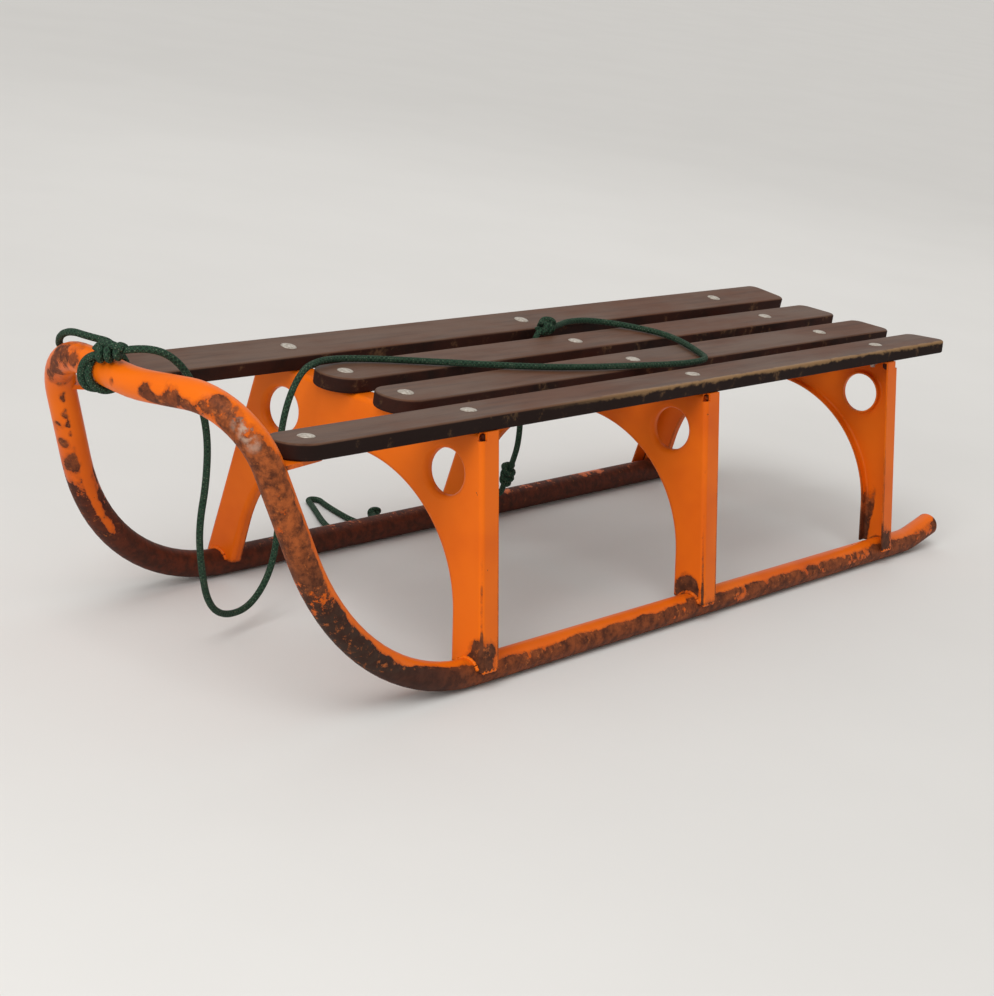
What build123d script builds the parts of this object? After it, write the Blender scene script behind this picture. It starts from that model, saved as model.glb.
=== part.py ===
import os
from math import atan2, cos, degrees, radians, sin, tan

from build123d import *

os.makedirs("parts", exist_ok=True)

# Snow sled: +X forward, +Y to the rider's left, floor at Z = 0, millimetres.

# Runner and bow tube, one length bent into both runners and the front bow
tube_od = 26.9
runner_half_track = 165.3  # middle of the sled to a runner's centre line
runner_bend_x = 440.9  # where the runner's line meets the bow upright's line
runner_bend_radius = 248.8
bow_left_inset = 46.6  # bow corner inside the runner's centre line
bow_right_inset = 36.8
bow_left_corner = (573.9, runner_half_track - bow_left_inset, 286.2)  # upright's line meets crossbar's
bow_right_corner = (564.4, bow_right_inset - runner_half_track, 271.2)  # knocked a little lower in use
bow_corner_radius = 65.8
bow_middle = (582.2, 0, 271.5)  # where the crossbar's two lines meet
bow_middle_radius = 152.7
tail_bend_x = -535
tail_bend_radius = 110
tail_angle = 14  # rise of the runner's rear end
tail_length = 52.0  # from the tail bend to the tube's end
right_tail_trim = 6.0  # the right tail is cut a little shorter
cap_height = 9  # dome of the welded end cap

# Pressed supports
support_x = {"front_support": 282, "middle_support": -79.5, "rear_support": -459}  # bolt lines
reversed_supports = ("rear_support",)  # flanges point forward on these
sheet = 2.0
bend_radius = 5.0  # outside of each pressed bend
flange_depth = 24.0
arch_lip_depth = 12.0
bolt_line = 11.0  # plate face to the slat bolts
seat_low = 229.9  # top of the support under the inner slats
seat_rise_angle = 5.0  # slope of the seat under the outer slats
leg_reach = 18.7  # outside of a foot beyond the runner's centre line
foot_height = 19.0
arch_inset = 26.3  # arch's widest point inside the runner's centre line
arch_apex = 179.0
leg_splay = 9.0  # inside edge of a leg, degrees from upright
hole_inset = 36.8  # hand hole's centre inside the support's top corner
hole_height = 189.0
hole_radius = 22.0
rim_radius = 5.0  # pressed bend round each hole
rim_depth = 9.0
relief_width = 5.0  # notch in the fold where the side and top flanges meet
relief_depth = 8.0
weld_gap = 0.3

# Seat slats
slat_width = 52.0
slat_thickness = 15.0
seat_inset = 49.8  # outer slat's middle inside the runner's centre line
slat_rear_x = -586.5
inner_slat_front_x = 312.0
outer_slat_front_x = 528.0
slat_front_round = 25.5
slat_rear_round = 12.0
slat_edge_round = 2.5

# Flat lugs welded to the bow, under the outer slats' front ends
bracket_bolt_setback = 35.0  # bolt behind the outer slat's front end
bracket_end_radius = 15.0  # round end about the bolt
bracket_front_half = 13.0  # half width at the bow
bracket_sheet = 4.0

slat_pitch = (runner_half_track - seat_inset) / 1.5
flange_reveal = 0.5  # support's top corner beyond the outer slat's edge
bend_clearance = 3.5  # inner slat's edge to the bend in the seat
seat_flat_half = (slat_pitch + slat_width) / 2 + bend_clearance
support_top_half = 1.5 * slat_pitch + slat_width / 2 + flange_reveal
hole_half_spacing = support_top_half - hole_inset
leg_foot_half = runner_half_track + leg_reach
arch_radius = runner_half_track - arch_inset
arch_centre_height = arch_apex - arch_radius
tube_radius = tube_od / 2


# Runner and bow tube, from the left tail round the bow to the right tail
def runner_corners(side, length):
    rise = radians(tail_angle)
    tail_end = (tail_bend_x - length * cos(rise), side * runner_half_track, tube_radius + length * sin(rise))
    tail_bend = (tail_bend_x, side * runner_half_track, tube_radius)
    return [tail_end, tail_bend, (runner_bend_x, side * runner_half_track, tube_radius)]


left_runner = runner_corners(1, tail_length)
right_runner = runner_corners(-1, tail_length - right_tail_trim)
tube_corners = left_runner + [bow_left_corner, bow_middle, bow_right_corner] + right_runner[::-1]
half_radii = [tail_bend_radius, runner_bend_radius, bow_corner_radius]
tube_radii = half_radii + [bow_middle_radius] + half_radii[::-1]


def tube_along_frame(radius):
    with BuildPart() as tube:
        with BuildLine() as path:
            FilletPolyline(*tube_corners, radius=tube_radii)
        with BuildSketch(Plane(origin=path.line @ 0, z_dir=path.line % 0)):
            Circle(radius)
        sweep()
    return tube.part


frame_tube = tube_along_frame(tube_radius)
frame_tube.label = "frame_tube"
export_step(frame_tube, "parts/frame_tube.step")

dome_radius = (tube_radius**2 + cap_height**2) / (2 * cap_height)

# Domed caps that close the runners' rear ends
for tail_end, name in ((left_runner[0], "left_end_cap"), (right_runner[0], "right_end_cap")):
    end = Vector(*tail_end)
    outward = Vector(-cos(radians(tail_angle)), 0, sin(radians(tail_angle)))
    with BuildPart() as end_cap:
        with BuildSketch(Plane(origin=end, x_dir=(0, 1, 0), z_dir=Vector(0, 1, 0).cross(outward))):
            with BuildLine():
                Line((0, 0), (tube_radius, 0))
                RadiusArc((tube_radius, 0), (0, cap_height), -dome_radius)
                Line((0, cap_height), (0, 0))
            make_face()
        revolve(axis=Axis(end, outward))
    end_cap.part.label = name
    export_step(end_cap.part, f"parts/{name}.step")

# Pressed support, plate face on X = 0 with its flanges behind it
seat_rise = tan(radians(seat_rise_angle))
top_corner = (support_top_half, seat_low + (support_top_half - seat_flat_half) * seat_rise)
splay = radians(leg_splay)
arch_tangent = (arch_radius * cos(splay), arch_centre_height + arch_radius * sin(splay))
foot_low = foot_height - 2 * sheet  # the pressing is cut level at the foot height
foot_inner = arch_tangent[0] + (arch_tangent[1] - foot_low) * tan(splay)


def arch_outline(grow):
    # half of the arch from its top down one leg, grown outwards
    shoulder = (arch_tangent[0] + grow * cos(splay), arch_tangent[1] + grow * sin(splay))
    with BuildLine() as half_arch:
        RadiusArc((0, arch_apex + grow), shoulder, arch_radius + grow)
        Line(shoulder, (foot_inner + grow / cos(splay), foot_low))
    return half_arch.line


def support_block(inset):
    # solid block of the support's outline with rounded folds, or its hollow inside
    with BuildPart() as block:
        with BuildSketch(Plane.YZ.offset(-inset)):
            with BuildLine():
                add(arch_outline(0))
                Polyline((foot_inner, foot_low), (leg_foot_half, foot_low), top_corner,
                         (seat_flat_half, seat_low), (0, seat_low))
                Line((0, seat_low), (0, arch_apex))
            make_face()
            mirror(about=Plane.YZ)
            if inset:
                offset(amount=-inset, kind=Kind.INTERSECTION)
        extrude(amount=-flange_depth)
        plate_edges = block.faces().sort_by(Axis.X)[-1].edges()
        fillet(plate_edges.filter_by(lambda edge: edge.center().Z > foot_height), bend_radius - inset)
    return block.part


with BuildPart() as support:
    add(support_block(0))
    add(support_block(sheet), mode=Mode.SUBTRACT)
    with BuildSketch(Plane.XY.offset(foot_height)):
        Rectangle(3 * flange_depth, 3 * leg_foot_half)
    extrude(amount=-foot_height, mode=Mode.SUBTRACT)
    # the lip round the arch is shallower than the outer flanges
    with BuildSketch(Plane.YZ.offset(-arch_lip_depth)):
        with BuildLine():
            add(arch_outline(sheet + bend_radius / 2))
            grown_foot = foot_inner + (sheet + bend_radius / 2) / cos(splay)
            Polyline((grown_foot, foot_low), (0, foot_low))
            Line((0, foot_low), (0, arch_apex + sheet + bend_radius / 2))
        make_face()
        mirror(about=Plane.YZ)
    extrude(amount=-flange_depth, mode=Mode.SUBTRACT)
    # hand hole in each shoulder, its rim pressed backwards
    with BuildSketch(Plane.YZ):
        with Locations((hole_half_spacing, hole_height), (-hole_half_spacing, hole_height)):
            Circle(hole_radius + rim_radius)
    extrude(amount=-2 * sheet, mode=Mode.SUBTRACT)
    for side in (1, -1):
        centre = Vector(0, side * hole_half_spacing, hole_height)
        with BuildSketch(Plane(origin=centre, x_dir=(0, 0, 1), z_dir=(0, 1, 0))):
            with BuildLine():
                outer = hole_radius + rim_radius
                RadiusArc((outer, 0), (hole_radius, -rim_radius), -rim_radius)
                Polyline((hole_radius, -rim_radius), (hole_radius, -rim_depth),
                         (hole_radius + sheet, -rim_depth), (hole_radius + sheet, -rim_radius))
                RadiusArc((hole_radius + sheet, -rim_radius), (outer, -sheet), rim_radius - sheet)
                Line((outer, -sheet), (outer, 0))
            make_face()
        revolve(axis=Axis(centre, (1, 0, 0)))
    # relief notches where the side and top flanges meet
    lean = degrees(atan2(leg_foot_half - support_top_half, top_corner[1] - foot_height))
    for side in (1, -1):
        with BuildSketch(Plane.YZ):
            with Locations(Location((side * support_top_half, top_corner[1]), side * lean)):
                Rectangle(2 * relief_width, 2 * relief_depth)
        extrude(amount=bend_radius + sheet, both=True, mode=Mode.SUBTRACT)
    # saddles that sit over the runners
    with BuildSketch(Plane.YZ):
        with Locations((runner_half_track, tube_radius), (-runner_half_track, tube_radius)):
            Circle(tube_radius + weld_gap)
    extrude(amount=2 * flange_depth, both=True, mode=Mode.SUBTRACT)

for name, line_x in support_x.items():
    turn = 180 if name in reversed_supports else 0
    reach = -bolt_line if name in reversed_supports else bolt_line
    piece = support.part.moved(Location((line_x + reach, 0, 0), (0, 0, turn)))
    piece.label = name
    export_step(piece, f"parts/{name}.step")


def seat_plane(offset_y):
    # plane on top of the supports at one slat's middle
    if abs(offset_y) < seat_flat_half:
        return Plane.XY.offset(seat_low).shift_origin((0, offset_y, seat_low))
    side = 1 if offset_y > 0 else -1
    height = seat_low + (abs(offset_y) - seat_flat_half) * seat_rise
    lean = radians(seat_rise_angle)
    return Plane(origin=(0, offset_y, height), x_dir=(1, 0, 0), z_dir=(0, -side * sin(lean), cos(lean)))


# Slats: name, place across the seat in slat pitches, front end
slat_table = (
    ("right_outer_slat", -1.5, outer_slat_front_x),
    ("right_inner_slat", -0.5, inner_slat_front_x),
    ("left_inner_slat", 0.5, inner_slat_front_x),
    ("left_outer_slat", 1.5, outer_slat_front_x),
)
for name, place, front_x in slat_table:
    with BuildPart() as slat:
        with BuildSketch(seat_plane(place * slat_pitch)) as outline:
            with Locations(((front_x + slat_rear_x) / 2, 0)):
                Rectangle(front_x - slat_rear_x, slat_width)
            fillet(outline.vertices().group_by(Axis.X)[-1], slat_front_round)
            fillet(outline.vertices().group_by(Axis.X)[0], slat_rear_round)
        extrude(amount=slat_thickness)
        up = seat_plane(place * slat_pitch).z_dir
        broad = slat.faces().filter_by(lambda face: abs(face.normal_at().dot(up)) > 0.99)
        fillet(broad.edges(), slat_edge_round)
    slat.part.label = name
    export_step(slat.part, f"parts/{name}.step")

# Lugs from the bow uprights to the bolts in the outer slats' front ends
tube_clearance = tube_along_frame(tube_radius + weld_gap)
for corner, name in ((bow_left_corner, "left_slat_bracket"), (bow_right_corner, "right_slat_bracket")):
    side = 1 if corner[1] > 0 else -1
    plane = seat_plane(side * 1.5 * slat_pitch)
    rise = (plane.origin.Z - tube_radius) / (corner[2] - tube_radius)
    weld_x = runner_bend_x + (corner[0] - runner_bend_x) * rise
    weld_y = corner[1] * rise + side * runner_half_track * (1 - rise) - plane.origin.Y
    with BuildPart() as bracket:
        with BuildSketch(plane):
            with Locations((outer_slat_front_x - bracket_bolt_setback, 0)):
                Circle(bracket_end_radius)
            with Locations((weld_x, weld_y)):
                Rectangle(bracket_sheet, 2 * bracket_front_half)
            make_hull()
        extrude(amount=-bracket_sheet)
        add(tube_clearance, mode=Mode.SUBTRACT)
    lug = bracket.part.solids().sort_by(Axis.X)[0]
    lug.label = name
    export_step(lug, f"parts/{name}.step")

# Tow rope: hitched to the bow, hanging in front of the seat, lying over the slats in a wide loop,
# dropping between two slats and ending on the floor beside the right runner
rope_diameter = 6.5
rope_route = [
    (586, -14.5, 296.5), (579, 5, 304), (558, 18, 297), (533, 20, 270), (507, 14, 228), (491, 4, 178),
    (483, -7, 128), (468, -13, 86), (445, -22, 44), (410, -33, 22), (365, -44, 20), (337, -49, 50),
    (333, -51, 100), (348, -49, 160), (346, -50, 212), (328, -52, 246), (300, -57, 251.5),
    (268, -62, 249.4), (232, -52, 248.9), (182, -26, 248.8), (132, 3, 249), (78, 31, 248.8),
    (24, 51, 249), (-34, 65, 249), (-92, 80, 249.4), (-134, 83, 249.2), (-161, 78, 249),
    (-180, 52, 248.8), (-202, 14, 248.9), (-210, -18, 248.8), (-201, -45, 248.8), (-184, -69, 249.4),
    (-158, -84.5, 250.6), (-126, -87, 250.8), (-98, -79, 249.8), (-76, -76, 250.5), (-58, -75.5, 246),
    (-53.5, -75.5, 216), (-51, -76, 170), (-53.5, -72.5, 126), (-58, -80, 99), (-66, -92.5, 74), (-86, -110, 50),
    (-103, -135, 38), (-109, -156, 32.5),
    (-116, -177, 32.5), (-121, -195, 20), (-114, -203, 6), (-88, -197, 3.6), (-53, -191, 3.7),
    (-13, -189, 3.6), (19, -190, 3.6), (35, -198, 3.6), (38, -216, 3.6), (33, -241, 3.7), (27, -266, 3.6),
    (21.5, -282, 3.7), (21.5, -292, 3.6), (28.5, -295.5, 3.7), (34, -287, 3.6), (53, -256, 3.7),
    (70, -231, 3.6), (80, -214, 3.7), (81, -201, 4.2), (69, -196, 6), (50, -199, 10.2), (32, -203, 11.5),
    (16, -207, 10.6),
]
# The hitch's tail from its knot: once round the crossbar, then loose over the bow's right corner
hitch_route = [
    (594, -53, 253.4), (558, -45, 253.4), (557, -53, 290), (573, -72, 292.5), (571, -98, 291),
    (563, -121, 280), (549, -135, 264), (533, -131, 250),
]
hitch_lead = 16.0  # straight run out of the knot
knot_radius = 8.0
knot_end_radius = 4.5
knot_length = 24.0


def cord_radii(points):
    # one radius for each corner, tangent to both of its runs
    radii = []
    for before, here, after in zip(points, points[1:], points[2:]):
        arrive = Vector(*here) - Vector(*before)
        leave = Vector(*after) - Vector(*here)
        half_turn = radians(arrive.get_angle(leave)) / 2
        radii.append(0.45 * min(arrive.length, leave.length) / tan(half_turn))
    return radii


def knot_profile(start, direction):
    # barrel that begins on the rope's end face
    across = direction.cross(Vector(0, 0, 1)).normalized()
    with BuildSketch(Plane(origin=start, x_dir=across, z_dir=across.cross(direction))) as barrel:
        with BuildLine():
            Polyline((knot_end_radius, 0), (0, 0), (0, knot_length), (knot_end_radius, knot_length))
            ThreePointArc((knot_end_radius, 0), (knot_radius, knot_length / 2), (knot_end_radius, knot_length))
        make_face()
    return barrel.sketch


rope_radii = cord_radii(rope_route)
print("rope radii", [round(radius) for radius in rope_radii])

with BuildPart() as tow_rope:
    with BuildLine() as rope_path:
        FilletPolyline(*rope_route, radius=rope_radii)
    with BuildSketch(Plane(origin=rope_path.line @ 0, z_dir=rope_path.line % 0)):
        Circle(rope_diameter / 2)
    sweep()
tow_rope.part.label = "tow_rope"
export_step(tow_rope.part, "parts/tow_rope.step")
rope_section = 3.14159 * rope_diameter**2 / 4
rope_length = sum(edge.length for edge in rope_path.edges())
print("rope length", round(rope_length), "volume over section times length",
      round(tow_rope.part.volume / (rope_section * rope_length), 4))

hitch_start = rope_path.line @ 0
hitch_direction = -(rope_path.line % 0)
with BuildPart() as bow_knot:
    add(knot_profile(hitch_start, hitch_direction))
    revolve(axis=Axis(hitch_start, hitch_direction))
bow_knot.part.label = "bow_knot"
export_step(bow_knot.part, "parts/bow_knot.step")

tail_start = hitch_start + hitch_direction * knot_length
tail_route = [tuple(tail_start), tuple(tail_start + hitch_direction * hitch_lead)] + hitch_route
tail_radii = cord_radii(tail_route)
print("hitch radii", [round(radius) for radius in tail_radii])
with BuildPart() as bow_hitch:
    with BuildLine() as hitch_path:
        FilletPolyline(*tail_route, radius=tail_radii)
    with BuildSketch(Plane(origin=hitch_path.line @ 0, z_dir=hitch_path.line % 0)):
        Circle(rope_diameter / 2)
    sweep()
bow_hitch.part.label = "bow_hitch"
export_step(bow_hitch.part, "parts/bow_hitch.step")

with BuildPart() as rope_end_knot:
    add(knot_profile(rope_path.line @ 1, rope_path.line % 1))
    revolve(axis=Axis(rope_path.line @ 1, rope_path.line % 1))
rope_end_knot.part.label = "rope_end_knot"
export_step(rope_end_knot.part, "parts/rope_end_knot.step")
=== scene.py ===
import math
import random

import bpy
from mathutils import Matrix, Vector


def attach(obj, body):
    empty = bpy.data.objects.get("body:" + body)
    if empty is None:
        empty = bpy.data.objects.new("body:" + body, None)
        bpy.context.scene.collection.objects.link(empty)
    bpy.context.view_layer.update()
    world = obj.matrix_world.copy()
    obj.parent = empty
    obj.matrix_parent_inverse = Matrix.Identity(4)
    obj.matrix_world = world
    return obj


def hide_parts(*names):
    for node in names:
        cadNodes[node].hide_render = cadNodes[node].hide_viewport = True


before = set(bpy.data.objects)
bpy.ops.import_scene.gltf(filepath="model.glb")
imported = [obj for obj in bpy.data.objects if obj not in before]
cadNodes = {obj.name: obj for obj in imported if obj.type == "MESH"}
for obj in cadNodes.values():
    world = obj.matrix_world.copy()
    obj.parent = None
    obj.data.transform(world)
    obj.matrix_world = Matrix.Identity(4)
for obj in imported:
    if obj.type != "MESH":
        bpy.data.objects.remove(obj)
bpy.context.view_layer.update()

chance = random.Random(7)
print("frame loaded:", len(cadNodes), "nodes")


# a material's node tree with short helpers, so that each finish below reads as a recipe
class Finish:
    def __init__(self, name, roughness=0.5, specular=0.5):
        self.material = bpy.data.materials.new(name)
        self.material.use_nodes = True
        self.tree = self.material.node_tree
        self.shader = self.tree.nodes["Principled BSDF"]
        self.shader.inputs["Roughness"].default_value = roughness
        self.shader.inputs["Specular IOR Level"].default_value = specular
        self.place = self.add("ShaderNodeTexCoord").outputs["Object"]

    def add(self, kind, **settings):
        made = self.tree.nodes.new(kind)
        for key, value in settings.items():
            setattr(made, key, value)
        return made

    def feed(self, socket, value):
        if isinstance(value, bpy.types.NodeSocket):
            self.tree.links.new(value, socket)
        else:
            socket.default_value = value

    def stretch(self, x, y, z):
        made = self.add("ShaderNodeMapping")
        made.inputs["Scale"].default_value = (x, y, z)
        self.feed(made.inputs["Vector"], self.place)
        return made.outputs["Vector"]

    def noise(self, scale, detail=4.0, rough=0.55, place=None):
        made = self.add("ShaderNodeTexNoise")
        self.feed(made.inputs["Vector"], place or self.place)
        made.inputs["Scale"].default_value = scale
        made.inputs["Detail"].default_value = detail
        made.inputs["Roughness"].default_value = rough
        return made.outputs["Fac"]

    def math(self, operation, a, b=0.0, clamp=False):
        made = self.add("ShaderNodeMath", operation=operation, use_clamp=clamp)
        self.feed(made.inputs[0], a)
        self.feed(made.inputs[1], b)
        return made.outputs[0]

    def total(self, *values):
        result = values[0]
        for value in values[1:]:
            result = self.math("ADD", result, value)
        return result

    def product(self, *values):
        result = values[0]
        for value in values[1:]:
            result = self.math("MULTIPLY", result, value)
        return result

    def ramp(self, value, low, high, toLow=0.0, toHigh=1.0):
        # smooth step; where the second end is the lower one it falls
        made = self.add("ShaderNodeMapRange", interpolation_type="SMOOTHSTEP")
        if low > high:
            low, high, toLow, toHigh = high, low, toHigh, toLow
        self.feed(made.inputs["Value"], value)
        for key, number in (("From Min", low), ("From Max", high), ("To Min", toLow), ("To Max", toHigh)):
            made.inputs[key].default_value = number
        return made.outputs[0]

    def mix(self, amount, a, b):
        made = self.add("ShaderNodeMix", data_type="RGBA")
        self.feed(made.inputs["Factor"], amount)
        for socket, value in ((made.inputs[6], a), (made.inputs[7], b)):
            self.feed(socket, value if isinstance(value, bpy.types.NodeSocket) else (*value, 1.0))
        return made.outputs[2]

    def parts(self, vector):
        made = self.add("ShaderNodeSeparateXYZ")
        self.feed(made.inputs[0], vector)
        return made.outputs

    def axes(self):
        return self.parts(self.place)

    def facing(self):
        return self.parts(self.add("ShaderNodeNewGeometry").outputs["Normal"])

    def near(self, centre, reach, strength):
        # fades from the full strength at a point to nothing at its reach
        made = self.add("ShaderNodeVectorMath", operation="DISTANCE")
        self.feed(made.inputs[0], self.place)
        made.inputs[1].default_value = centre
        return self.ramp(made.outputs["Value"], reach, 0.35 * reach, 0.0, strength)

    def edges(self, radius):
        # bright where the surface turns within that radius
        bevel = self.add("ShaderNodeBevel", samples=6)
        bevel.inputs["Radius"].default_value = radius
        dot = self.add("ShaderNodeVectorMath", operation="DOT_PRODUCT")
        self.feed(dot.inputs[0], bevel.outputs["Normal"])
        self.feed(dot.inputs[1], self.add("ShaderNodeNewGeometry").outputs["Normal"])
        return self.math("SUBTRACT", 1.0, dot.outputs["Value"], clamp=True)

    def bump(self, height, distance, strength=0.5):
        made = self.add("ShaderNodeBump")
        made.inputs["Distance"].default_value = distance
        made.inputs["Strength"].default_value = strength
        self.feed(made.inputs["Height"], height)
        self.feed(self.shader.inputs["Normal"], made.outputs["Normal"])

    def color(self, value):
        self.feed(self.shader.inputs["Base Color"], value)

    def rough(self, value):
        self.feed(self.shader.inputs["Roughness"], value)


def linkPiece(name, verts, faces, finish, slot=None, smooth=True):
    mesh = bpy.data.meshes.new(name)
    mesh.from_pydata([tuple(v) for v in verts], [], faces)
    mesh.materials.append(finish)
    mesh.polygons.foreach_set("use_smooth", [smooth] * len(mesh.polygons))
    mesh.update()
    piece = bpy.data.objects.new(name, mesh)
    bpy.context.scene.collection.objects.link(piece)
    if slot:
        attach(piece, "root")
    return piece


# camera at the photograph's angle
cameraView = {
    "place": (1.7958, 1.2952, 0.7408),
    "forward": (-0.7673, -0.5748, -0.2844),
    "right": (-0.6274, 0.7646, 0.1474),
    "lens": 79.51,
    "sensor": 36,
}
forward = Vector(cameraView["forward"]).normalized()
right = Vector(cameraView["right"])
right = (right - forward * right.dot(forward)).normalized()
lensData = bpy.data.cameras.new("photoCamera")
lensData.sensor_fit = "HORIZONTAL"
lensData.sensor_width = cameraView["sensor"]
lensData.lens = cameraView["lens"]
camera = bpy.data.objects.new("photoCamera", lensData)
turn = Matrix((right, right.cross(forward), -forward)).transposed().to_4x4()
camera.matrix_world = Matrix.Translation(cameraView["place"]) @ turn
bpy.context.scene.collection.objects.link(camera)
bpy.context.scene.camera = camera
print("camera set")

# tow rope, a dark green braided cord; its routes follow the solids' ones, in millimetres here
ropeShape = {
    "diameter": 0.0065,
    "sides": 12,
    "fineness": 14,
    "carriers": 4,  # strands each way round the braid
    "braidPitch": 0.019,
    "dark": (0.006, 0.019, 0.011),
    "green": (0.018, 0.052, 0.027),
    "fleck": (0.11, 0.145, 0.095),
}
ropeRoute = [
    (586, -14.5, 296.5), (579, 5, 304), (558, 18, 297), (533, 20, 270), (507, 14, 228), (491, 4, 178),
    (483, -7, 128), (468, -13, 86), (445, -22, 44), (410, -33, 22), (365, -44, 20), (337, -49, 50),
    (333, -51, 100), (348, -49, 160), (346, -50, 212), (328, -52, 246), (300, -57, 251.5),
    (268, -62, 249.4), (232, -52, 248.9), (182, -26, 248.8), (132, 3, 249), (78, 31, 248.8),
    (24, 51, 249), (-34, 65, 249), (-92, 80, 249.4), (-134, 83, 249.2), (-161, 78, 249),
    (-180, 52, 248.8), (-202, 14, 248.9), (-210, -18, 248.8), (-201, -45, 248.8), (-184, -69, 249.4),
    (-158, -84.5, 250.6), (-126, -87, 250.8), (-98, -79, 249.8), (-76, -76, 250.5), (-58, -75.5, 246),
    (-53.5, -75.5, 216), (-51, -76, 170), (-53.5, -72.5, 126), (-58, -80, 99), (-66, -92.5, 74),
    (-86, -110, 50), (-103, -135, 38), (-109, -156, 32.5), (-116, -177, 32.5), (-120.5, -192.5, 22.5),
    (-120, -201, 12), (-112.5, -206, 5.2), (-100, -204.5, 3.6), (-84, -198, 3.6), (-53, -191, 3.7),
    (-13, -189, 3.6), (19, -190, 3.6), (35, -198, 3.6), (38, -216, 3.6), (33, -241, 3.7), (26.5, -264, 3.6),
    (22, -275.5, 3.6), (19.6, -281.4, 3.6), (21, -287.3, 3.6), (26.3, -290.2, 3.6), (31.9, -288.4, 3.6),
    (35.4, -283, 3.6), (41, -274, 3.6), (53, -256, 3.7), (70, -231, 3.6), (79.5, -214, 3.6), (82, -203, 3.9),
    (77, -193.5, 5), (65, -189.5, 7.6), (50, -190, 10.4), (36, -191, 11.4), (25, -193.5, 11.2),
    (18.5, -200, 10.4), (16.5, -207, 9.8),
]
hitchRoute = [
    (593.6, -35.7, 288.3), (598.7, -49.9, 282.9), (594, -53, 253.4), (558, -45, 253.4), (557, -53, 290),
    (573, -72, 292.5), (571, -98, 291), (563, -121, 280), (549, -135, 264), (533, -131, 250),
]


def makeBraid(name):
    look = ropeShape
    f = Finish(name, roughness=0.8, specular=0.25)
    around, along = f.parts(f.add("ShaderNodeTexCoord").outputs["UV"])[:2]
    turns = f.product(around, look["carriers"])
    climb = f.math("DIVIDE", along, look["braidPitch"] / look["carriers"])
    waves = [f.math("SINE", f.product(f.math(way, turns, climb), 2 * math.pi)) for way in ("ADD", "SUBTRACT")]
    ridge = f.math("MAXIMUM", *waves)
    fuzz = f.noise(1900, 3, 0.6)
    # the braid's valleys take the darkest green, painted shade between the strands
    tone = f.mix(f.ramp(f.total(ridge, fuzz), 0.2, 1.5), look["dark"], look["green"])
    specks = f.product(f.ramp(f.product(*waves), 0.35, 0.75), f.ramp(f.noise(260, 3, 0.6), 0.45, 0.62))
    f.color(f.mix(specks, tone, look["fleck"]))
    f.bump(f.total(ridge, f.product(fuzz, 0.5)), 0.0005, 0.7)
    return f.material


def routePoints(name, route):
    # points along one smooth spline that has the route as its control points
    curve = bpy.data.curves.new(name, "CURVE")
    curve.dimensions = "3D"
    spline = curve.splines.new("NURBS")
    spline.points.add(len(route) - 1)
    for point, (x, y, z) in zip(spline.points, route):
        point.co = (x / 1000, y / 1000, z / 1000, 1.0)
    spline.order_u = 3
    spline.use_endpoint_u = True
    spline.resolution_u = ropeShape["fineness"]
    holder = bpy.data.objects.new(name, curve)
    bpy.context.scene.collection.objects.link(holder)
    line = bpy.data.meshes.new_from_object(holder)
    points = [vertex.co.copy() for vertex in line.vertices]
    bpy.data.objects.remove(holder)
    bpy.data.meshes.remove(line)
    return points


def tubeAlong(points, radius, sides, verts, faces):
    # rings round the line, closed at both ends; gives each ring's distance along it
    start, side, run = len(verts), (points[1] - points[0]).orthogonal(), 0.0
    runs = []
    for i, here in enumerate(points):
        ahead = (points[min(i + 1, len(points) - 1)] - points[max(i - 1, 0)]).normalized()
        side = (side - ahead * side.dot(ahead)).normalized()
        up = ahead.cross(side)
        run += (here - points[i - 1]).length if i else 0.0
        runs.append(run)
        for k in range(sides):
            angle = 2 * math.pi * k / sides
            verts.append(here + (side * math.cos(angle) + up * math.sin(angle)) * radius)
    for i in range(len(points) - 1):
        for k in range(sides):
            a, b = start + i * sides + k, start + i * sides + (k + 1) % sides
            faces.append((a, b, b + sides, a + sides))
    last = len(verts) - sides
    faces.append(tuple(start + k for k in reversed(range(sides))))
    faces.append(tuple(last + k for k in range(sides)))
    return runs


def cordPiece(name, lines, node=None):
    # one piece of braided cord from one or more lines
    sides, verts, faces, runs = ropeShape["sides"], [], [], []
    for line in lines:
        runs += tubeAlong(line, ropeShape["diameter"] / 2, sides, verts, faces)
    piece = linkPiece(name, verts, faces, ropeBraid, "tow_rope")
    layer = piece.data.uv_layers.new(name="braid")
    for face in piece.data.polygons:
        wraps = max(v % sides for v in face.vertices) - min(v % sides for v in face.vertices) > 1
        for loop in face.loop_indices:
            vertex = piece.data.loops[loop].vertex_index
            step = vertex % sides
            layer.data[loop].uv = ((sides if wraps and step == 0 else step) / sides, runs[vertex // sides])
    if node:
        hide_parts(node)
    return piece


# knots in the cord, in millimetres: where each starts, where it points, how long it is, turns, radius
knotShape = {
    "bow": (ropeRoute[0], hitchRoute[0], 25, 3, 6.2),
    "ropeEnd": ((17, -206.5, 9.4), (0, -210, 8.6), 15, 2, 3.6),
    "strand": ((-58, -82.5, 93), (-70, -95, 68), 28, 3, 5.6),
    "seat": ((-84, -77.2, 250.3), (-64, -75.8, 250.6), 19, 3, 6.2),
    # the strand drawn back over the turns: share of the length, lean, height in radii
    "over": ((1.02, 0.1, 0.7), (0.8, 0.4, 1.45), (0.4, -0.1, 1.7), (0.1, -0.6, 1.2), (-0.05, -0.5, 0.5)),
}


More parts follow.
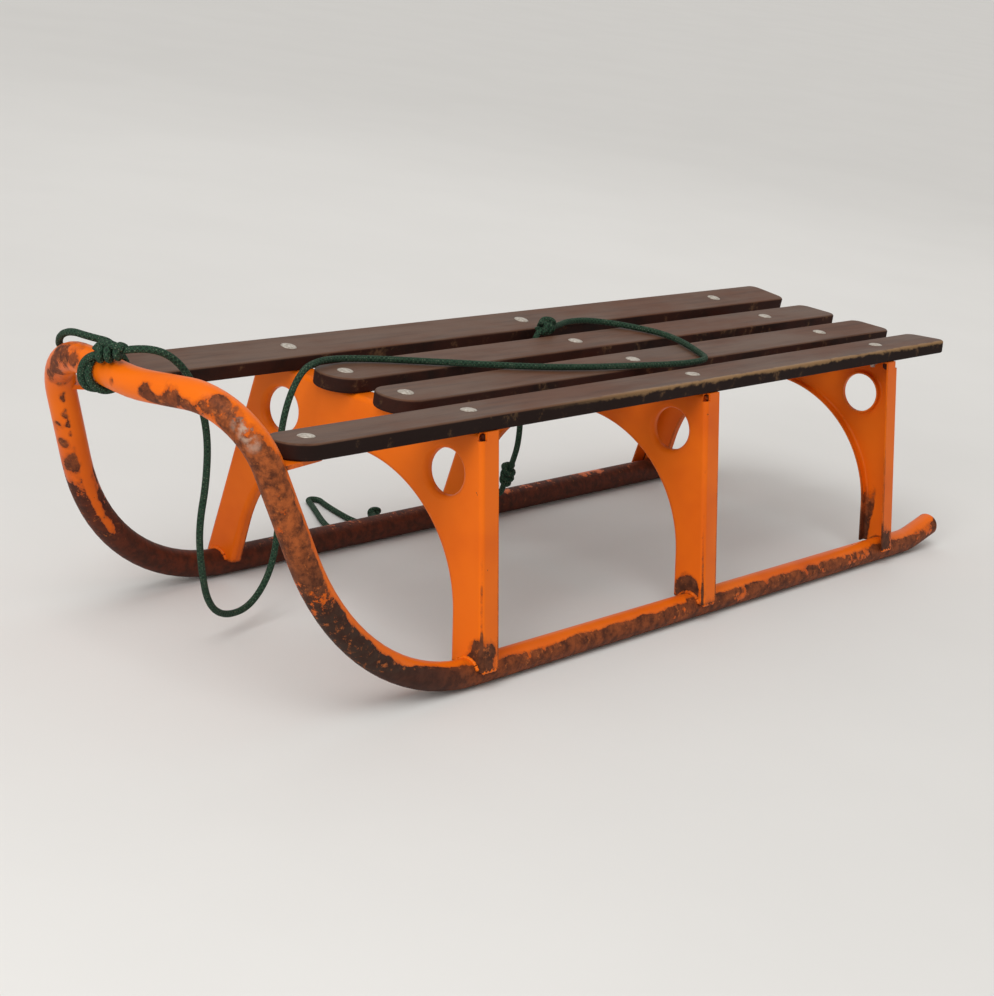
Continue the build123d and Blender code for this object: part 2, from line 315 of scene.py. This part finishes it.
def woundKnot(start, towards, length, turns, radius):
    # turns of the cord wound side by side, with one strand drawn back over them
    axis = (Vector(towards) - Vector(start)).normalized()
    side = axis.cross(Vector((0.3, 0.1, 1))).normalized()
    up = side.cross(axis)
    wound = []
    steps = int(6 * turns)
    for i in range(steps + 1):
        angle = math.pi / 3 * i
        swell = radius * (0.72 + 0.34 * math.sin(math.pi * i / steps))
        wound.append(Vector(start) + axis * (length * i / steps)
                     + (side * math.cos(angle) + up * math.sin(angle)) * swell)
    over = [Vector(start) + axis * (length * share) + (up * 0.9 + side * lean) * (radius * high)
            for share, lean, high in knotShape["over"]]
    return [routePoints("knotTurns", wound), routePoints("knotOver", over)]


ropeBraid = makeBraid("ropeBraid")
ropeLine = routePoints("towRopeRoute", ropeRoute)
hitchLine = routePoints("bowHitchRoute", hitchRoute)
towRope = cordPiece("towRope", [ropeLine], "tow_rope")
bowHitch = cordPiece("bowHitch", [hitchLine], "bow_hitch")

# bow knot with a second turn round the crossbar beside the hitch's own
crossbarTurn = {
    "centre": (576.4, -42.0, 271.4),
    "along": (0.137, 0.99, 0.0),
    "reach": 18.6,  # bar's middle to the cord's
    "firstAngle": 62,
    "angleStep": -45,
    "shifts": (-1.5, -2.0, -2.0, 0.5, 3.0, 4.0, 3.0, 0.5, -0.5),  # along the bar at each step
    "comesFrom": (590, -31, 291),
    "goesTo": (586, -27, 296),
}
barMiddle = Vector(crossbarTurn["centre"])
barAlong = Vector(crossbarTurn["along"]).normalized()
barOut = barAlong.cross(Vector((0, 0, 1)))
reach = crossbarTurn["reach"]
secondTurn = [Vector(crossbarTurn["comesFrom"])]
for i, shift in enumerate(crossbarTurn["shifts"]):
    angle = math.radians(crossbarTurn["firstAngle"] + crossbarTurn["angleStep"] * i)
    secondTurn.append(barMiddle + barAlong * shift + barOut * (reach * math.cos(angle))
                      + Vector((0, 0, reach * math.sin(angle))))
secondTurn.append(Vector(crossbarTurn["goesTo"]))
bowKnot = cordPiece("bowKnot", woundKnot(*knotShape["bow"]) + [routePoints("secondTurn", secondTurn)], "bow_knot")
endKnot = cordPiece("ropeEndKnot", woundKnot(*knotShape["ropeEnd"]), "rope_end_knot")
strandKnot = cordPiece("strandKnot", woundKnot(*knotShape["strand"]))
seatKnot = cordPiece("seatKnot", woundKnot(*knotShape["seat"]))

# worn orange paint over rusty steel
paintLook = {
    "orange": (0.80, 0.150, 0.0045),
    "deepOrange": (0.66, 0.102, 0.004),
    "stained": (0.34, 0.052, 0.008),
    "warmRust": (0.375, 0.092, 0.022),
    "brownRust": (0.046, 0.024, 0.016),
    "deepRedRustAndShade": (0.112, 0.023, 0.009),
    "darkRust": (0.036, 0.012, 0.007),
    "fleck": (0.48, 0.125, 0.028),
    "bareSteelGlint": (0.44, 0.29, 0.215),
    "chipScale": 62.0,
    "chipEdge": (0.86, 0.90),  # how bare it is where the paint breaks off
    "haloStart": 0.72,
    "paintRough": 0.36,
    "rustRough": 0.60,
}
# places that are rubbed bare: point, reach, strength
rubbedPlaces = (
    ((0.579, -0.101, 0.263), 0.024, 0.25),
    ((0.565, -0.116, 0.245), 0.026, 0.26),
    ((0.581, -0.083, 0.279), 0.020, 0.24),
    ((0.586, -0.070, 0.269), 0.013, 0.20),
    ((0.548, -0.122, 0.223), 0.011, 0.38),
    ((0.540, -0.125, 0.206), 0.011, 0.36),
    ((0.536, -0.127, 0.195), 0.007, 0.34),
    ((0.531, -0.129, 0.186), 0.006, 0.32),
    ((0.520, -0.129, 0.172), 0.008, 0.25),
    ((0.540, -0.138, 0.192), 0.010, 0.27),
    ((0.532, -0.138, 0.175), 0.010, 0.26),
    ((0.519, -0.135, 0.156), 0.016, 0.25),
    ((0.592, 0.023, 0.273), 0.012, 0.30),
    ((0.591, 0.032, 0.269), 0.010, 0.28),
    ((0.591, 0.053, 0.278), 0.012, 0.26),
    ((0.589, 0.044, 0.267), 0.014, 0.28),
    ((0.587, 0.062, 0.269), 0.018, 0.27),
    ((0.587, 0.078, 0.271), 0.018, 0.26),
    ((0.591, -0.017, 0.270), 0.007, 0.27),
    ((0.583, 0.090, 0.279), 0.014, 0.24),
    ((0.579, 0.105, 0.270), 0.020, 0.26),
    ((0.578, 0.097, 0.282), 0.011, 0.22),
    ((0.573, 0.120, 0.254), 0.024, 0.29),
    ((0.560, 0.134, 0.238), 0.032, 0.24),
)
# rusty places low on the left legs
legPlaces = (
    ((-0.0685, 0.160, 0.033), 0.021, 0.40),
    ((0.288, 0.179, 0.034), 0.026, 0.34),
    ((-0.449, 0.180, 0.032), 0.026, 0.36),
)
# the runners' rust round the feet: each support's place along, distance from the middle, height
footLines = {"along": (0.292, -0.078, -0.458), "track": 0.178, "height": 0.020, "reach": 0.040, "strength": 0.16}
# places on the bow's left corner that are polished down to the steel, coloured light as a painted highlight
rubbedGlintPlaces = (
    ((0.574, 0.115, 0.268), 0.009, 0.6),
    ((0.571, 0.121, 0.262), 0.010, 0.85),
    ((0.568, 0.127, 0.254), 0.009, 0.6),
)


def makePaint(name, wearOf):
    # wearOf gives the wear, how brown and how red the rust is (the red partly painted shade on the right half), and
    # how polished the steel, its light colour partly a painted highlight
    look = paintLook
    f = Finish(name, roughness=0.42, specular=0.14)
    wear, brownShade, rustRednessAndPaintedShade, rubbedGlint = wearOf(f)
    tone = f.mix(f.ramp(f.noise(9, 3), 0.38, 0.75), look["orange"], look["deepOrange"])
    grit = f.total(f.product(f.noise(look["chipScale"], 9, 0.68), 0.75), f.product(f.noise(15, 4, 0.6), 0.45))
    specks = f.ramp(f.noise(120, 2, 0.5), 0.76, 0.80, 0.0, 0.4)  # a few small stone chips anywhere
    bare = f.total(grit, wear, specks)
    chips = f.ramp(bare, *look["chipEdge"])
    halo = f.ramp(bare, look["haloStart"], look["chipEdge"][1], 0.0, 0.6)
    # brown rust at the front bends; deep red rust low on the runners and on the crossbar, and on the lower right
    # half as painted shade
    rust = f.mix(rustRednessAndPaintedShade, f.mix(brownShade, look["warmRust"], look["brownRust"]), look["deepRedRustAndShade"])
    rust = f.mix(f.ramp(f.noise(105, 8, 0.7), 0.66, 0.34, 0.0, 0.85), rust, look["darkRust"])
    # polished bare steel, its light colour partly a painted highlight
    steelGlintMask = f.product(rubbedGlint, f.ramp(f.noise(140, 5, 0.6), 0.35, 0.60)) if rubbedGlint else 0.0
    rust = f.mix(steelGlintMask, rust, look["bareSteelGlint"])
    # bits of paint that still hold on in the rust
    flecks = f.product(f.ramp(f.noise(170, 6, 0.72), 0.55, 0.66), f.ramp(bare, 1.20, 0.95), 0.8)
    f.color(f.mix(chips, f.mix(halo, tone, look["stained"]), f.mix(flecks, rust, look["fleck"])))
    dullness = f.ramp(chips, 0.0, 1.0, look["paintRough"], look["rustRough"])
    f.rough(f.math("SUBTRACT", dullness, f.product(steelGlintMask, 0.30)))
    f.bump(f.math("SUBTRACT", f.product(f.noise(240, 3), 0.25), chips), 0.0005, 0.55)
    return f.material


# how worn each piece is; near means the left half of the sled, far the right half
def tubeWear(f):
    x, y, z = f.axes()
    nx, ny, nz = f.facing()
    low = f.ramp(z, 0.046, 0.030)
    offTop = f.ramp(nz, 1.0, 0.55)
    farHalf = f.ramp(y, 0.02, -0.02)
    nearHalf = f.math("SUBTRACT", 1.0, farHalf)
    front = f.ramp(x, 0.27, 0.36)
    # patchy, and barer ahead of the middle support than behind it
    patches = f.total(f.ramp(f.noise(24, 4, 0.6), 0.36, 0.60, 0.27, 0.44), f.ramp(x, -0.10, 0.02, 0.0, 0.10))
    runnerSides = f.product(low, offTop, patches)
    undersides = f.product(low, f.ramp(nz, 0.1, -0.5), 0.15)
    farRunner = f.product(low, farHalf, f.ramp(nz, 1.0, 0.7, 0.34, 0.28))
    outFront = f.math("SUBTRACT", f.product(nx, 0.8), f.product(nz, 0.6))
    climb = f.total(f.product(nearHalf, f.ramp(z, 0.27, 0.20)), f.product(farHalf, f.ramp(z, 0.19, 0.10)))
    bends = f.product(front, climb, f.ramp(outFront, -0.80, -0.15), 0.38)
    farBend = f.product(farHalf, front, f.ramp(z, 0.10, 0.03), 0.25)
    # a strip of paint is left along the inside of the right bend
    strip = f.product(farHalf, front, f.ramp(ny, 0.80, 0.94), f.ramp(z, 0.060, 0.085), -0.26)
    farInside = f.product(farHalf, front, f.ramp(z, 0.19, 0.12), f.ramp(nx, 0.10, -0.35), 0.30)
    fade = footLines["reach"], footLines["strength"]
    feet = [f.near((place, hand * footLines["track"], footLines["height"]), *fade)
            for place in footLines["along"] for hand in (1, -1)]
    capRims = f.ramp(x, -0.578, -0.588, 0.0, 0.22)
    rubs = [f.near(*place) for place in rubbedPlaces]
    wear = f.total(runnerSides, undersides, farRunner, bends, farBend, strip, farInside, capRims, *feet, *rubs)
    rubbedGlint = f.total(*(f.near(*place) for place in rubbedGlintPlaces))
    crossbarShade = f.product(f.ramp(z, 0.235, 0.250), f.ramp(y, 0.115, 0.085), 0.55)
    # the lower right half goes deep red as painted shade; low on the runners and on the crossbar the red is the
    # rust's own
    rustRednessAndPaintedShade = f.math("MAXIMUM", f.product(farHalf, f.ramp(z, 0.20, 0.10)), f.product(low, 0.42))
    rustRednessAndPaintedShade = f.math("MAXIMUM", rustRednessAndPaintedShade, crossbarShade)
    brownShade = f.product(front, f.ramp(z, 0.18, 0.10))
    return wear, brownShade, rustRednessAndPaintedShade, rubbedGlint


def supportWear(f):
    y, z = f.axes()[1:]
    feet = f.ramp(z, 0.046, 0.018, 0.0, 0.20)
    folds = f.product(f.edges(0.005), f.ramp(z, 0.17, 0.05, 0.5, 1.4))
    # the fold between a leg's plate and its outer flange, chipped low down
    nx, ny = f.facing()[:2]
    outerFold = f.product(f.ramp(f.math("ABSOLUTE", f.product(nx, ny)), 0.36, 0.48),
                          f.ramp(f.math("ABSOLUTE", y), 0.146, 0.152))
    foldLine = f.product(outerFold, f.ramp(z, 0.17, 0.09), 0.26)
    patches = [f.near(*place) for place in legPlaces]
    rearLip = f.product(f.near((-0.464, 0.143, 0.050), 0.044, 0.40), f.ramp(y, 0.153, 0.147))
    wear = f.total(feet, folds, foldLine, *patches, rearLip, -0.03)
    return wear, f.ramp(z, 0.060, 0.045, 0.0, 0.72), 0.0, None


def weldWear(f):
    return 0.16, 0.0, 0.0, None


# the corner beads close the fold reliefs; their dark rust finish is painted shade in the notches
def cornerShadeWear(f):
    return 0.42, 0.0, 1.0, None


# dark brown lacquered slats, rubbed to bare wood along the edges
slatLook = {
    "lacquer": (0.118, 0.062, 0.038),
    "warm": (0.118, 0.046, 0.023),
    # deep is the dark grain on the tops, and also the sides' painted shade
    "deep": (0.014, 0.006, 0.0045),
    "redEdgeInShade": (0.034, 0.010, 0.006),
    "rubbed": (0.27, 0.150, 0.070),
    "bareEdge": (0.30, 0.175, 0.080),
    "leftEdge": (0.0, 0.1399, 0.2508),  # outer top edge of the left slat, bare to the rear
}


def makeSlatWood(name):
    look = slatLook
    f = Finish(name, roughness=0.5, specular=0.12)
    x, y = f.axes()[:2]
    nz = f.facing()[2]
    grain = f.noise(30, 6, 0.62, f.stretch(0.3, 5, 5))
    blotch = f.noise(11, 4, 0.6, f.stretch(0.5, 1.4, 1.4))
    top = f.mix(f.ramp(blotch, 0.35, 0.68), look["lacquer"], look["warm"])
    top = f.mix(f.ramp(grain, 0.42, 0.72, 0.0, 0.38), top, look["deep"])
    # the sides take darker colours than the tops: painted shade on faces turned from the light, reddish along the
    # inner edges
    reddish = f.product(f.ramp(y, 0.135, 0.125), f.ramp(f.noise(14, 5, 0.6), 0.35, 0.6))
    side = f.mix(reddish, look["deep"], look["redEdgeInShade"])
    tone = f.mix(f.ramp(nz, 0.75, 0.3), top, side)
    scuffs = f.ramp(f.noise(20, 6, 0.7, f.stretch(0.6, 1, 1)), 0.42, 0.68, 0.0, 0.6)
    turned = f.ramp(nz, 0.3, 0.75)
    sideScuffs = f.product(f.math("SUBTRACT", 1.0, turned),
                           f.ramp(f.noise(42, 7, 0.72), 0.56, 0.70, 0.0, 0.40))
    worn = f.math("MAXIMUM", sideScuffs,
                  f.product(f.ramp(f.edges(0.0045), 0.03, 0.22), scuffs, f.ramp(nz, -0.2, 0.2)))
    tone = f.mix(worn, tone, look["rubbed"])
    fromEdge = f.add("ShaderNodeVectorMath", operation="DISTANCE")
    f.feed(fromEdge.inputs[0], f.stretch(0, 1, 1))
    fromEdge.inputs[1].default_value = look["leftEdge"]
    ragged = f.product(f.math("SUBTRACT", f.noise(46, 8, 0.75, f.stretch(0.6, 1, 1)), 0.5), 0.016)
    bareEdge = f.product(f.ramp(f.total(fromEdge.outputs["Value"], ragged), 0.0042, 0.0012),
                         f.ramp(x, 0.24, -0.02), 0.85)
    f.color(f.mix(bareEdge, tone, look["bareEdge"]))
    f.rough(f.total(f.ramp(blotch, 0.3, 0.7, 0.42, 0.54), f.product(worn, 0.2), f.product(turned, -0.26), 0.26))
    f.bump(f.total(f.product(grain, 0.6), f.noise(320, 3)), 0.0004, 0.25)
    return f.material


framePaint = makePaint("framePaint", tubeWear)
supportPaint = makePaint("supportPaint", supportWear)
weldPaint = makePaint("weldPaint", weldWear)
cornerShadePaint = makePaint("cornerShadePaint", cornerShadeWear)
slatWood = makeSlatWood("slatWood")
for nodeName, node in cadNodes.items():
    if nodeName.endswith("_slat"):
        finish = slatWood
    elif nodeName.endswith("_support"):
        finish = supportPaint
    elif nodeName.endswith(("_tube", "_cap", "_bracket")):
        finish = framePaint
    else:
        continue
    node.data.materials.clear()
    node.data.materials.append(finish)
print("paint and lacquer on the frame")


def latheAt(place, axis, profile, sides, verts, faces):
    # profile of (radius, height) pairs turned about an axis; the last pair is the rim
    axis = axis.normalized()
    side = axis.orthogonal().normalized()
    up = axis.cross(side)
    start = len(verts)
    for radius, height in profile:
        for k in range(sides):
            angle = 2 * math.pi * k / sides
            verts.append(place + axis * height + (side * math.cos(angle) + up * math.sin(angle)) * radius)
    for i in range(len(profile) - 1):
        for k in range(sides):
            a, b = start + i * sides + k, start + i * sides + (k + 1) % sides
            faces.append((a, a + sides, b + sides, b))
    faces.append(tuple(start + k for k in range(sides)))
    last = start + (len(profile) - 1) * sides
    faces.append(tuple(last + k for k in reversed(range(sides))))


# round-headed bolts through the slats, with nuts under the supports
boltShape = {
    "head": ((0.0012, 1.9), (0.0030, 1.8), (0.0052, 1.45), (0.0069, 0.9), (0.0078, 0.35), (0.0080, -0.2)),
    "nutRadius": 0.0057,
    "nutHeight": 0.005,
    "stemRadius": 0.0029,
    "lines": (0.282, -0.0795, -0.459),
    "lugLine": 0.493,
    "slats": ((0.0385, 0.2449, 0.0), (0.11419, 0.2490, 5.0)),  # place across, top of the slat, lean
    "slatThickness": 0.015,
    "sheet": 0.002,
    "headSides": 24,
    "stemOut": 0.004,  # past the nut
    "chamfer": 0.0007,
    "bright": (0.52, 0.48, 0.42),
    "dull": (0.34, 0.29, 0.24),
    "metallic": 0.35,
}
zinc = Finish("zincBolts", roughness=0.45, specular=0.4)
zinc.shader.inputs["Metallic"].default_value = boltShape["metallic"]
dull = zinc.ramp(zinc.noise(420, 4), 0.35, 0.7)
zinc.color(zinc.mix(dull, boltShape["bright"], boltShape["dull"]))
zinc.rough(zinc.ramp(dull, 0.0, 1.0, 0.42, 0.6))
zinc.bump(zinc.noise(700, 3), 0.0003, 0.3)
headVerts, headFaces, nutVerts, nutFaces = [], [], [], []
for across, top, lean in boltShape["slats"]:
    for hand in (1, -1):
        normal = Vector((0, -hand * math.sin(math.radians(lean)), math.cos(math.radians(lean))))
        lines = boltShape["lines"] + ((boltShape["lugLine"],) if lean else ())
        for x in lines:
            seat = Vector((x, hand * across, top))
            profile = [(radius, height / 1000) for radius, height in boltShape["head"]]
            latheAt(seat, normal, profile, boltShape["headSides"], headVerts, headFaces)
            if x == boltShape["lugLine"]:
                continue  # threaded into the lug
            below = seat - normal * (boltShape["slatThickness"] + boltShape["sheet"])
            tall, wide, stem = boltShape["nutHeight"], boltShape["nutRadius"], boltShape["stemRadius"]
            chamfer, tip = boltShape["chamfer"], tall + boltShape["stemOut"]
            latheAt(below, -normal, [(wide * 0.86, tall), (wide, tall - chamfer), (wide, chamfer), (wide * 0.9, 0)],
                    6, nutVerts, nutFaces)
            latheAt(below, -normal, [(stem * 0.7, tip), (stem, tip - chamfer), (stem, 0)], 12, nutVerts, nutFaces)
linkPiece("boltHeads", headVerts, headFaces, zinc.material, "zinc_bolts")
linkPiece("boltNuts", nutVerts, nutFaces, zinc.material, "zinc_bolts", smooth=False)
print("bolts in the slats")

# weld beads: over each runner at the legs, along the leg's outer flange, and in the top corners, where they fill
# the fold reliefs dark as painted shade
weldShape = {
    "bead": 0.0022,
    "tube": 0.01345,
    "track": 0.1653,
    "faces": ((0.293, -1), (-0.0685, -1), (-0.470, 1)),  # plate face, way its flanges point
    "proud": 0.0009,  # bead's line over the tube
    "arcAhead": 0.0003,  # and ahead of the plate face
    "arcFrom": 26,
    "arcSweep": 128,
    "arcSteps": 28,
    "flange": 0.024,
    "flangeOut": 0.1815,
    "flangeLow": 0.0188,
    "flangeFrom": 0.1,  # share of the flange where its bead starts, and share it covers
    "flangeCovers": 0.88,
    "flangeSteps": 13,
    "corner": (0.1359, 0.2301),  # inside corner where the top and outer flanges meet
    "cornerBead": 0.0048,
    "cornerStart": 0.0066,  # behind the plate face
    "cornerStep": 0.0014,
    "cornerSteps": 8,
}


def beadAlong(points, bead, verts, faces):
    # a lumpy bead that swells and shrinks from one puddle to the next
    start, sides = len(verts), 8
    for i, here in enumerate(points):
        ahead = (points[min(i + 1, len(points) - 1)] - points[max(i - 1, 0)]).normalized()
        side = ahead.orthogonal().normalized()
        up = ahead.cross(side)
        ending = 0.35 if i in (0, len(points) - 1) else 1.0
        radius = bead * ending * (0.9 + 0.16 * math.sin(i * 1.9) + chance.uniform(-0.1, 0.1))
        for k in range(sides):
            angle = 2 * math.pi * k / sides
            verts.append(here + (side * math.cos(angle) + up * math.sin(angle)) * radius)
    for i in range(len(points) - 1):
        for k in range(sides):
            a, b = start + i * sides + k, start + i * sides + (k + 1) % sides
            faces.append((a, b, b + sides, a + sides))
    faces.append(tuple(start + k for k in reversed(range(sides))))
    faces.append(tuple(len(verts) - sides + k for k in range(sides)))


weldVerts, weldFaces, cornerVerts, cornerFaces = [], [], [], []
tube = weldShape["tube"]
arcRadius = tube + weldShape["proud"]
for plateX, way in weldShape["faces"]:
    for hand in (1, -1):
        runner = Vector((plateX, hand * weldShape["track"], tube))
        arc = []
        for step in range(weldShape["arcSteps"] + 1):
            a = math.radians(weldShape["arcFrom"] + weldShape["arcSweep"] * step / weldShape["arcSteps"])
            arc.append(runner + Vector((-way * weldShape["arcAhead"], hand * math.cos(a) * arcRadius,
                                        math.sin(a) * arcRadius)))
        beadAlong(arc, weldShape["bead"], weldVerts, weldFaces)
        flangeLine = []
        for step in range(weldShape["flangeSteps"] + 1):
            share = weldShape["flangeFrom"] + weldShape["flangeCovers"] * step / weldShape["flangeSteps"]
            flangeLine.append(Vector((plateX + way * weldShape["flange"] * share,
                                      hand * weldShape["flangeOut"], weldShape["flangeLow"])))
        beadAlong(flangeLine, weldShape["bead"], weldVerts, weldFaces)
        cornerY, cornerZ = weldShape["corner"]
        cornerLine = [Vector((plateX + way * (weldShape["cornerStart"] + weldShape["cornerStep"] * step),
                              hand * cornerY, cornerZ)) for step in range(weldShape["cornerSteps"] + 1)]
        beadAlong(cornerLine, weldShape["cornerBead"], cornerVerts, cornerFaces)
linkPiece("weldBeads", weldVerts, weldFaces, weldPaint, "orange_paint")
linkPiece("cornerWeldsInShade", cornerVerts, cornerFaces, cornerShadePaint, "orange_paint")
print("weld beads laid")

# pale floor and soft studio light
studio = {
    "floorHalf": 60,
    "floorPale": (0.73, 0.72, 0.70),
    "floorPaler": (0.745, 0.735, 0.715),
    "aim": (0, 0, 0.15),
    "sky": (0.96, 0.94, 0.91),
    "skyStrength": 0.57,
}
floorFinish = Finish("paleFloor", roughness=0.8, specular=0.2)
floorTone = floorFinish.ramp(floorFinish.noise(3, 5), 0.3, 0.7)
floorFinish.color(floorFinish.mix(floorTone, studio["floorPale"], studio["floorPaler"]))
half = studio["floorHalf"]
floor = linkPiece("paleFloor", [(-half, -half, 0), (half, -half, 0), (half, half, 0), (-half, half, 0)],
                  [(0, 1, 2, 3)], floorFinish.material, smooth=False)
# a broad sun lights the floor evenly all the way back; the panels only add sheen
# each light: name, kind, place, angle or size, power
lightPlan = (
    ("broadSun", "SUN", (1.7, 0.6, 3.2), math.radians(36), 1.05),
    ("frontPanel", "AREA", (2.5, 0.7, 1.4), 1.0, 22.0),
    ("backPanel", "AREA", (-1.8, -1.2, 2.2), 2.4, 9.0),
)
for lightName, kind, place, size, power in lightPlan:
    lamp = bpy.data.lights.new(lightName, kind)
    if kind == "SUN":
        lamp.angle = size
    else:
        lamp.size = size
    lamp.energy = power
    holder = bpy.data.objects.new(lightName, lamp)
    holder.location = place
    holder.rotation_euler = (Vector(studio["aim"]) - Vector(place)).to_track_quat("-Z", "Y").to_euler()
    bpy.context.scene.collection.objects.link(holder)
world = bpy.context.scene.world or bpy.data.worlds.new("studio")
bpy.context.scene.world = world
world.use_nodes = True
sky = world.node_tree.nodes["Background"]
sky.inputs["Color"].default_value = (*studio["sky"], 1)
sky.inputs["Strength"].default_value = studio["skyStrength"]
bpy.context.scene.view_settings.view_transform = "Standard"
print("floor and light set")
